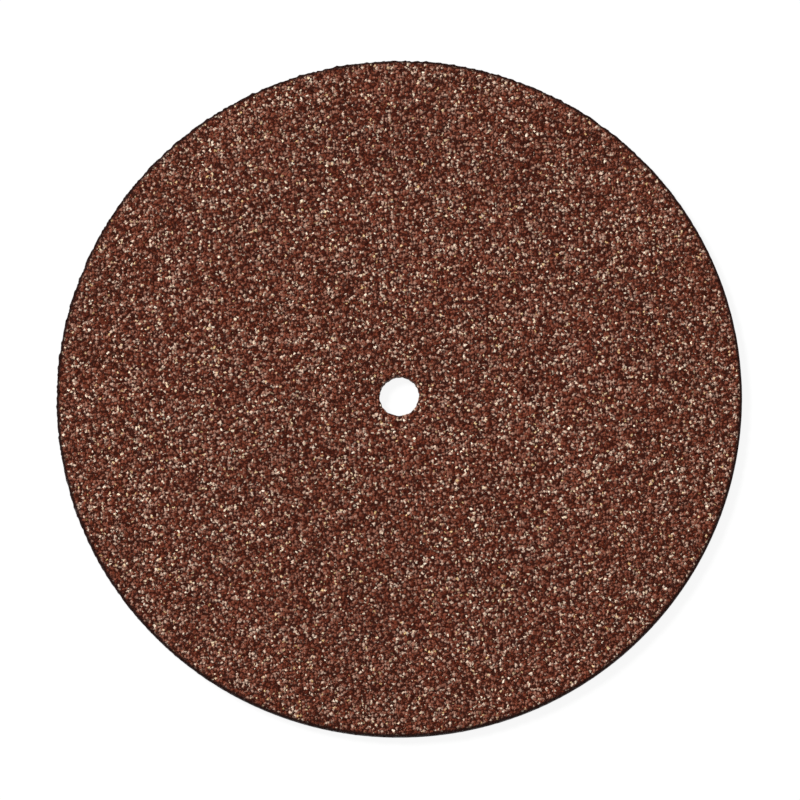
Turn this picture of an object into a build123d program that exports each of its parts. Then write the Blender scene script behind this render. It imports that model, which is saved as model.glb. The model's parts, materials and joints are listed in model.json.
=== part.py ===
from build123d import *
import os

# A thin resin-bonded abrasive disc for cutting, pressed as one piece.
# It lies flat with the centre of its lower face at the origin, and its axis is Z.

# Driving dimensions in millimetres
disc_diameter = 25.4
disc_thickness = 0.5
bore_diameter = 1.52
rim_edge_radius = 0.06
bore_edge_break = 0.03

disc_radius = disc_diameter / 2
bore_radius = bore_diameter / 2


def disc_blank():
    """The round plate, from the supporting surface up."""
    return Cylinder(disc_radius, disc_thickness, align=(Align.CENTER, Align.CENTER, Align.MIN))


def bore_tool():
    """The round hole for the mandrel screw, through the whole thickness."""
    return Cylinder(bore_radius, disc_thickness, align=(Align.CENTER, Align.CENTER, Align.MIN))


def edges_at_radius(solid, radius):
    """The circular edges of the two faces that have this radius."""
    return solid.edges().filter_by(GeomType.CIRCLE).filter_by(lambda edge: abs(edge.radius - radius) < radius / 100)


def abrasive_disc():
    """The disc with its bore, its worn rim edges and the small breaks at the mouth of the bore."""
    disc = disc_blank() - bore_tool()
    disc = fillet(edges_at_radius(disc, disc_radius), rim_edge_radius)
    return chamfer(edges_at_radius(disc, bore_radius), bore_edge_break)


os.makedirs("parts", exist_ok=True)
disc = abrasive_disc()
export_step(disc, "parts/abrasive_disc.step")
print("abrasive_disc volume", round(disc.volume, 3), "mm3")
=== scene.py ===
import bpy
import json
import math
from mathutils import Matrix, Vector


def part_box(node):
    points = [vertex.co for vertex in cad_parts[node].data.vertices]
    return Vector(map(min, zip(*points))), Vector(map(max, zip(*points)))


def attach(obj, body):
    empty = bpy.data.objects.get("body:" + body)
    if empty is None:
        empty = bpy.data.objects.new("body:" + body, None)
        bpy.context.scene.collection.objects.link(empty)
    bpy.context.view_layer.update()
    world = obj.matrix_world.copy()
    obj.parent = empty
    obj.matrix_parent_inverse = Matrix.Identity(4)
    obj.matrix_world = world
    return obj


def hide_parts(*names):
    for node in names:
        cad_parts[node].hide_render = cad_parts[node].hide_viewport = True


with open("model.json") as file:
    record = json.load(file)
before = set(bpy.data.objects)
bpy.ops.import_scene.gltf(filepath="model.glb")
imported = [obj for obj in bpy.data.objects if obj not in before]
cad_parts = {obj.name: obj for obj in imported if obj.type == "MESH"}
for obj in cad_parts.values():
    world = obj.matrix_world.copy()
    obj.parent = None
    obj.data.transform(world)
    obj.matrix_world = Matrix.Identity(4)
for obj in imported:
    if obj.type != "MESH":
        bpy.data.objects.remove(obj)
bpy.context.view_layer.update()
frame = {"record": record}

discLow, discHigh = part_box("abrasive_disc")
discRadius = (discHigh.x - discLow.x) / 2
discThickness = discHigh.z - discLow.z
mm = 0.001
boreMount = next(mount for mount in frame["record"]["mounts"] if mount["name"] == "bore")
boreRadius = boreMount["dims"]["r_mm"] * mm


def deselectAll():
    if bpy.context.object and bpy.context.object.mode != "OBJECT":
        bpy.ops.object.mode_set(mode="OBJECT")
    bpy.ops.object.select_all(action="DESELECT")


def pickFaces(piece, test):
    # called in edit mode, and leaves only the faces that pass the test selected
    bpy.ops.mesh.select_mode(type="FACE")
    bpy.ops.mesh.select_all(action="DESELECT")
    bpy.ops.object.mode_set(mode="OBJECT")
    for face in piece.data.polygons:
        face.select = test(face)
    bpy.ops.object.mode_set(mode="EDIT")


def pickEdges(piece, test):
    # the same for edges, which are tested by their two ends
    bpy.ops.mesh.select_mode(type="EDGE")
    bpy.ops.mesh.select_all(action="DESELECT")
    bpy.ops.object.mode_set(mode="OBJECT")
    points = piece.data.vertices
    for edge in piece.data.edges:
        edge.select = test(points[edge.vertices[0]].co, points[edge.vertices[1]].co)
    bpy.ops.object.mode_set(mode="EDIT")


def applyModifier(piece, name, kind, **settings):
    modifier = piece.modifiers.new(name, kind)
    for key, value in settings.items():
        setattr(modifier, key, value)
    bpy.ops.object.modifier_apply(modifier=modifier.name)


def heightPattern(name, kind, size, **settings):
    pattern = bpy.data.textures.new(name, kind)
    pattern.noise_scale = size
    for key, value in settings.items():
        setattr(pattern, key, value)
    return pattern


def newGroup(name, inputs, outputs):
    group = bpy.data.node_groups.new(name, "ShaderNodeTree")
    for socketName, kind, value in inputs:
        socket = group.interface.new_socket(socketName, in_out="INPUT", socket_type=kind)
        if value is not None:
            socket.default_value = value
    for socketName, kind in outputs:
        group.interface.new_socket(socketName, in_out="OUTPUT", socket_type=kind)
    return group, group.nodes.new("NodeGroupInput"), group.nodes.new("NodeGroupOutput")


def addNode(tree, kind, **settings):
    node = tree.nodes.new(kind)
    for key, value in settings.items():
        setattr(node, key, value)
    return node


def plug(tree, source, socket):
    # a plain value is set on the socket, and another node's output is linked to it
    if isinstance(source, (int, float, tuple)):
        socket.default_value = source
    else:
        tree.links.new(source, socket)


def addMath(tree, operation, first, second, clamp=False):
    node = addNode(tree, "ShaderNodeMath", operation=operation, use_clamp=clamp)
    plug(tree, first, node.inputs[0])
    plug(tree, second, node.inputs[1])
    return node.outputs[0]


def addVector(tree, operation, first, second):
    node = addNode(tree, "ShaderNodeVectorMath", operation=operation)
    plug(tree, first, node.inputs[0])
    plug(tree, second, node.inputs[1])
    return node.outputs[0]


def addRange(tree, source, low, high, lowTo=0.0, highTo=1.0):
    node = addNode(tree, "ShaderNodeMapRange", interpolation_type="SMOOTHSTEP")
    tree.links.new(source, node.inputs["Value"])
    for key, value in (("From Min", low), ("From Max", high), ("To Min", lowTo), ("To Max", highTo)):
        node.inputs[key].default_value = value
    return node.outputs["Result"]


def addMix(tree, factor, first, second):
    node = addNode(tree, "ShaderNodeMix", data_type="RGBA")
    for index, source in ((0, factor), (6, first), (7, second)):  # the colour sockets are 6 and 7
        plug(tree, source, node.inputs[index])
    return node.outputs[2]


def addRamp(tree, source, stops):
    node = addNode(tree, "ShaderNodeValToRGB")
    ramp = node.color_ramp
    while len(ramp.elements) < len(stops):
        ramp.elements.new(0.5)
    for element, (place, colour) in zip(ramp.elements, stops):
        element.position = place
        element.color = (*colour, 1.0)
    tree.links.new(source, node.inputs[0])
    return node.outputs[0]


crystalForm = {
    "push": 0.16 * mm,            # how far an outline is pushed about
    "domeReach": (0.1, 1.05),     # from a crystal's flat top to its edge, in cell sizes
}


def makeGrainCells(form):
    # crystals: two random values for each one, and its height, which falls to its edge
    group, entry, out = newGroup(
        "grainCells",
        [("Vector", "NodeSocketVector", None), ("Offset", "NodeSocketVector", None),
         ("Grains Per Metre", "NodeSocketFloat", 7000.0), ("Unevenness", "NodeSocketFloat", 0.9)],
        [("Random", "NodeSocketFloat"), ("Other Random", "NodeSocketFloat"), ("Dome", "NodeSocketFloat")])
    moved = addVector(group, "ADD", entry.outputs["Vector"], entry.outputs["Offset"])
    # the crystals are broken, not round, so their outlines are pushed about first
    wander = addNode(group, "ShaderNodeTexNoise")
    group.links.new(moved, wander.inputs["Vector"])
    group.links.new(entry.outputs["Grains Per Metre"], wander.inputs["Scale"])
    centred = addVector(group, "SUBTRACT", wander.outputs["Color"], (0.5, 0.5, 0.5))
    push = addNode(group, "ShaderNodeVectorMath", operation="MULTIPLY_ADD")
    for index, source in enumerate((centred, (form["push"],) * 3, moved)):
        plug(group, source, push.inputs[index])
    cells = addNode(group, "ShaderNodeTexVoronoi", feature="F1", distance="MANHATTAN")
    group.links.new(push.outputs[0], cells.inputs["Vector"])
    group.links.new(entry.outputs["Grains Per Metre"], cells.inputs["Scale"])
    group.links.new(entry.outputs["Unevenness"], cells.inputs["Randomness"])
    parts = addNode(group, "ShaderNodeSeparateColor")
    group.links.new(cells.outputs["Color"], parts.inputs[0])
    group.links.new(parts.outputs[0], out.inputs["Random"])
    group.links.new(parts.outputs[1], out.inputs["Other Random"])
    dome = addRange(group, cells.outputs["Distance"], *form["domeReach"], 1.0, 0.0)
    group.links.new(dome, out.inputs["Dome"])
    return group


def makeSoftPatches():
    # slow changes of tone over the pressed face
    group, entry, out = newGroup(
        "softPatches",
        [("Vector", "NodeSocketVector", None), ("Patches Per Metre", "NodeSocketFloat", 300.0),
         ("Low", "NodeSocketFloat", 0.9), ("High", "NodeSocketFloat", 1.1)],
        [("Tone", "NodeSocketFloat")])
    noise = addNode(group, "ShaderNodeTexNoise")
    noise.inputs["Detail"].default_value = 3.0
    group.links.new(entry.outputs["Vector"], noise.inputs["Vector"])
    group.links.new(entry.outputs["Patches Per Metre"], noise.inputs["Scale"])
    spread = addNode(group, "ShaderNodeMapRange")
    spread.inputs["From Min"].default_value = 0.3  # noise seldom leaves 0.3 to 0.7
    spread.inputs["From Max"].default_value = 0.7
    group.links.new(noise.outputs["Fac"], spread.inputs["Value"])
    group.links.new(entry.outputs["Low"], spread.inputs["To Min"])
    group.links.new(entry.outputs["High"], spread.inputs["To Max"])
    group.links.new(spread.outputs["Result"], out.inputs["Tone"])
    return group


grainCells = makeGrainCells(crystalForm)
softPatches = makeSoftPatches()

bondedGrainLook = {
    "grainsPerMetre": 9300.0,
    "palette": [                  # from dark crystals to pale ones
        (0.00, (0.060, 0.008, 0.003)),
        (0.18, (0.140, 0.030, 0.014)),
        (0.45, (0.205, 0.058, 0.033)),
        (0.70, (0.265, 0.104, 0.068)),
        (0.86, (0.360, 0.200, 0.145)),
        (1.00, (0.690, 0.500, 0.380)),
    ],
    "bondColour": (0.028, 0.004, 0.001),
    "bondHeights": (0.0, 0.55),   # the bond fades out between these heights
    # painted highlight: small cream-to-ochre glint spots put into the colour
    "paintedGlintsPerMetre": 9600.0,
    "paintedGlintOffset": (0.0131, 0.0277, 0.0093),  # keeps the painted glints out of step with the grains
    "paintedGlintChance": (0.86, 0.96),
    "paintedGlintHeights": (0.25, 0.6),
    "paintedGlintColours": ((0.95, 0.80, 0.64), (0.62, 0.40, 0.17)),
    "widePatches": (220.0, 0.93, 1.07),
    "smallPatches": (1500.0, 0.94, 1.06),
    # painted shade for the rim wall and its rounded edges
    "rimShadeColour": (0.012, 0.002, 0.001),
    "rimShadeBand": (0.19 * mm, 0.07 * mm),
    "gloss": 0.06,
    "roughness": (0.7, 0.38),
    "sparkleShine": 0.2,
    "bumpStrength": 0.8,
    "bumpDepth": 0.05 * mm,
    "stepHeight": 0.6,            # crystals stand at different heights
    "fineHeight": 0.5,
}


def makeBondedGrain(look):
    material = bpy.data.materials.new("bondedGrain")
    material.use_nodes = True
    tree = material.node_tree
    tree.nodes.clear()
    out = addNode(tree, "ShaderNodeOutputMaterial")
    shader = addNode(tree, "ShaderNodeBsdfPrincipled")
    shader.inputs["Specular IOR Level"].default_value = look["gloss"]
    tree.links.new(shader.outputs[0], out.inputs["Surface"])
    place = addNode(tree, "ShaderNodeTexCoord").outputs["Object"]

    def cells(perMetre, offset):
        node = addNode(tree, "ShaderNodeGroup", node_tree=grainCells)
        node.inputs["Grains Per Metre"].default_value = perMetre
        node.inputs["Offset"].default_value = offset
        tree.links.new(place, node.inputs["Vector"])
        return node.outputs

    def patches(perMetre, low, high):
        node = addNode(tree, "ShaderNodeGroup", node_tree=softPatches)
        for key, value in (("Patches Per Metre", perMetre), ("Low", low), ("High", high)):
            node.inputs[key].default_value = value
        tree.links.new(place, node.inputs["Vector"])
        return node.outputs["Tone"]

    grains = cells(look["grainsPerMetre"], (0.0, 0.0, 0.0))
    fine = cells(look["paintedGlintsPerMetre"], look["paintedGlintOffset"])
    # the bond shows between the crystals
    bare = addRange(tree, grains["Dome"], *look["bondHeights"])
    colour = addMix(tree, bare, (*look["bondColour"], 1.0), addRamp(tree, grains["Random"], look["palette"]))
    # painted glints: a few small bright spots, cream to ochre, painted into the colour as specular sparkles
    glintPick = addRange(tree, fine["Random"], *look["paintedGlintChance"])
    paintedGlintMask = addMath(tree, "MULTIPLY", glintPick, addRange(tree, fine["Dome"], *look["paintedGlintHeights"]))
    cream, ochre = look["paintedGlintColours"]
    paintedGlintColour = addMix(tree, fine["Other Random"], (*cream, 1.0), (*ochre, 1.0))
    colour = addMix(tree, paintedGlintMask, colour, paintedGlintColour)
    tone = addMath(tree, "MULTIPLY", patches(*look["widePatches"]), patches(*look["smallPatches"]))
    tinted = addNode(tree, "ShaderNodeVectorMath", operation="SCALE")
    tree.links.new(colour, tinted.inputs[0])
    tree.links.new(tone, tinted.inputs["Scale"])
    # painted shade: the rim's wall and rounded edges are darkened in the colour, where shade falls
    across = addNode(tree, "ShaderNodeVectorMath", operation="LENGTH")
    tree.links.new(addVector(tree, "MULTIPLY", place, (1.0, 1.0, 0.0)), across.inputs[0])
    inner, outer = (discRadius - room for room in look["rimShadeBand"])
    rimShade = addRange(tree, across.outputs["Value"], inner, outer)
    colour = addMix(tree, rimShade, tinted.outputs[0], (*look["rimShadeColour"], 1.0))
    tree.links.new(colour, shader.inputs["Base Color"])
    # some crystals shine more than others, and the painted glint spots most
    rough = addRange(tree, grains["Other Random"], 0.1, 0.9, *look["roughness"])
    rough = addMath(tree, "SUBTRACT", rough, addMath(tree, "MULTIPLY", paintedGlintMask, look["sparkleShine"]))
    tree.links.new(rough, shader.inputs["Roughness"])
    step = addMath(tree, "MULTIPLY", grains["Random"], look["stepHeight"])
    height = addMath(tree, "ADD", grains["Dome"], step)
    height = addMath(tree, "ADD", height, addMath(tree, "MULTIPLY", fine["Dome"], look["fineHeight"]))
    bump = addNode(tree, "ShaderNodeBump")
    bump.inputs["Strength"].default_value = look["bumpStrength"]
    bump.inputs["Distance"].default_value = look["bumpDepth"]
    tree.links.new(height, bump.inputs["Height"])
    tree.links.new(bump.outputs[0], shader.inputs["Normal"])
    return material


bondedGrain = makeBondedGrain(bondedGrainLook)
print("materials ready")

wheelShape = {
    "sides": 360,
    "faceRoom": 0.03 * mm,        # the rough skin stays within the true size
    "rimRoom": 0.018 * mm,
    "boreRoom": 0.01 * mm,
    "rimBevel": 0.05 * mm,
    "bevelSteps": 3,
    "facet": 0.106 * mm,
    "grainSize": 0.17 * mm,
    "grainHeight": 0.06 * mm,
    "grainLevel": 0.3,            # the pattern's value that leaves the skin where it is
    "scatter": 0.026 * mm,
    "scatterStop": 0.1 * mm,      # points nearer to the rim aren't scattered
    "seed": 7,
    "raggedSize": 0.2 * mm,
    "raggedDepth": 0.11 * mm,
    "raggedLevel": 0.62,
    "raggedZone": 0.3 * mm,       # how far in from the rim its breaks reach
    "raggedMiddle": math.radians(128),
    "raggedReach": math.radians(115),
    "raggedGain": 1.6,
    "raggedLeast": 0.06,
}


def markRim(wheel, radius, shape):
    # weights for the broken edge, mostly on the upper left, and for the rough skin
    ragged = wheel.vertex_groups.new(name="raggedRim")
    rough = wheel.vertex_groups.new(name="roughSkin")
    for point in wheel.data.vertices:
        inward = (radius - point.co.xy.length) / shape["raggedZone"]
        if inward > 1:
            rough.add([point.index], 1.0, "REPLACE")
            continue
        turn = math.atan2(point.co.y, point.co.x) - shape["raggedMiddle"]
        turn = abs(math.remainder(turn, 2 * math.pi))
        weight = min(1.0, shape["raggedGain"] * (1 - turn / shape["raggedReach"]))
        weight = max(shape["raggedLeast"], weight)
        rough.add([point.index], max(weight, inward), "REPLACE")
        ragged.add([point.index], weight * max(0.0, 1 - inward), "REPLACE")


def makeWheel(shape):
    deselectAll()
    radius = discRadius - shape["rimRoom"]
    thickness = discThickness - 2 * shape["faceRoom"]
    bpy.ops.mesh.primitive_cylinder_add(
        vertices=shape["sides"], radius=radius, depth=thickness, location=(0, 0, discThickness / 2))
    wheel = bpy.context.object
    wheel.name = "abrasive_wheel"
    bpy.ops.object.transform_apply(location=True, rotation=True, scale=True)

    def isRim(first, second):
        level = abs(first.z - second.z) < 0.001 * mm
        return level and min(first.xy.length, second.xy.length) > radius * 0.99

    # the bore, then the rounded edges of the rim
    bpy.ops.object.mode_set(mode="EDIT")
    pickFaces(wheel, lambda face: abs(face.normal.z) > 0.9)
    bpy.ops.mesh.inset(thickness=radius - boreRadius + shape["boreRoom"], use_even_offset=True)
    bpy.ops.mesh.bridge_edge_loops()
    pickEdges(wheel, isRim)
    bpy.ops.mesh.bevel(
        offset=shape["rimBevel"], segments=shape["bevelSteps"], profile=0.5, affect="EDGES")
    bpy.ops.mesh.select_all(action="SELECT")
    bpy.ops.mesh.normals_make_consistent(inside=False)
    bpy.ops.object.mode_set(mode="OBJECT")
    print("wheel blank", len(wheel.data.polygons), "faces")

    applyModifier(wheel, "evenFacets", "REMESH", mode="VOXEL", voxel_size=shape["facet"], adaptivity=0.0)
    print("wheel facets", len(wheel.data.polygons))

    markRim(wheel, radius, shape)
    applyModifier(
        wheel, "brokenRim", "DISPLACE", direction="NORMAL",
        strength=shape["raggedDepth"], mid_level=shape["raggedLevel"], vertex_group="raggedRim",
        texture=heightPattern("brokenRim", "CLOUDS", shape["raggedSize"], noise_depth=1))
    applyModifier(
        wheel, "grainHeights", "DISPLACE", direction="NORMAL",
        strength=shape["grainHeight"], mid_level=shape["grainLevel"], vertex_group="roughSkin",
        texture=heightPattern("grainHeights", "VORONOI", shape["grainSize"]))
    bpy.ops.object.mode_set(mode="EDIT")
    pickFaces(wheel, lambda face: face.center.xy.length < radius - shape["scatterStop"])
    bpy.ops.transform.vertex_random(offset=shape["scatter"], seed=shape["seed"])
    bpy.ops.object.mode_set(mode="OBJECT")
    applyModifier(wheel, "facetCut", "TRIANGULATE", quad_method="SHORTEST_DIAGONAL")
    bpy.ops.object.shade_flat()
    wheel.vertex_groups.clear()

    # nothing stands above the faces or below the surface it lies on
    for point in wheel.data.vertices:
        point.co.z = min(max(point.co.z, discLow.z), discHigh.z)
    wheel.data.materials.clear()
    wheel.data.materials.append(bondedGrain)
    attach(wheel, "root")
    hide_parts("abrasive_disc")
    print("wheel done", len(wheel.data.polygons), "triangles")


makeWheel(wheelShape)

studio = {
    "floorRadius": 0.6,
    "paperColour": (0.9, 0.9, 0.9, 1.0),
    "floorWhite": 0.9,            # the share of plain white that a seen floor shows
    "keyDirection": (-0.62, 0.55, 0.85),
    "keyDistance": 0.5,
    "keySize": 0.16,
    "keyPower": 3.2,
    "skyLevel": 0.45,
}


def seenRays(tree):
    # camera, mirror and glass rays see the plain white background
    path = addNode(tree, "ShaderNodeLightPath")
    seen = addMath(tree, "ADD", path.outputs["Is Camera Ray"], path.outputs["Is Glossy Ray"])
    return addMath(tree, "ADD", seen, path.outputs["Is Transmission Ray"], clamp=True)


def makeFloor(look):
    deselectAll()
    bpy.ops.mesh.primitive_circle_add(
        vertices=64, radius=look["floorRadius"], fill_type="NGON", location=(0, 0, 0))
    floor = bpy.context.object
    floor.name = "studioFloor"
    material = bpy.data.materials.new("studioPaper")
    material.use_nodes = True
    tree = material.node_tree
    tree.nodes.clear()
    out = addNode(tree, "ShaderNodeOutputMaterial")
    paper = addNode(tree, "ShaderNodeBsdfDiffuse")
    paper.inputs["Color"].default_value = look["paperColour"]
    glow = addNode(tree, "ShaderNodeEmission")
    mix = addNode(tree, "ShaderNodeMixShader")
    tree.links.new(addMath(tree, "MULTIPLY", seenRays(tree), look["floorWhite"]), mix.inputs[0])
    tree.links.new(paper.outputs[0], mix.inputs[1])
    tree.links.new(glow.outputs[0], mix.inputs[2])
    tree.links.new(mix.outputs[0], out.inputs["Surface"])
    floor.data.materials.append(material)


def makeLights(look):
    world = bpy.data.worlds.new("studioSky")
    bpy.context.scene.world = world
    world.use_nodes = True
    tree = world.node_tree
    sky = tree.nodes["Background"]
    sky.inputs["Color"].default_value = (1, 1, 1, 1)
    tree.links.new(addRange(tree, seenRays(tree), 0.0, 1.0, look["skyLevel"], 1.0), sky.inputs["Strength"])
    light = bpy.data.lights.new("keyLight", "AREA")
    light.shape = "DISK"
    light.size = look["keySize"]
    light.energy = look["keyPower"]
    key = bpy.data.objects.new("keyLight", light)
    bpy.context.collection.objects.link(key)
    away = Vector(look["keyDirection"]).normalized()
    key.location = away * look["keyDistance"]
    key.rotation_euler = away.to_track_quat("Z", "Y").to_euler()


cameraView = {
    "elevation": math.radians(80.5),
    "distance": 0.2618,
    "lens": 318.0,
    "roll": math.radians(-4.8),
    "aim": (0.00002, -0.00008, 0.0),
    "clipStart": 0.01,
}


def makeCamera(view):
    lens = bpy.data.cameras.new("viewCamera")
    lens.lens = view["lens"]
    lens.clip_start = view["clipStart"]
    camera = bpy.data.objects.new("viewCamera", lens)
    bpy.context.collection.objects.link(camera)
    away = Vector((0, -math.cos(view["elevation"]), math.sin(view["elevation"])))
    camera.location = away * view["distance"] + Vector(view["aim"])
    camera.rotation_euler = away.to_track_quat("Z", "Y").to_euler()
    camera.rotation_euler.rotate_axis("Z", view["roll"])
    bpy.context.scene.camera = camera


makeFloor(studio)
makeLights(studio)
makeCamera(cameraView)
bpy.context.scene.view_settings.view_transform = "Standard"
print("studio ready")
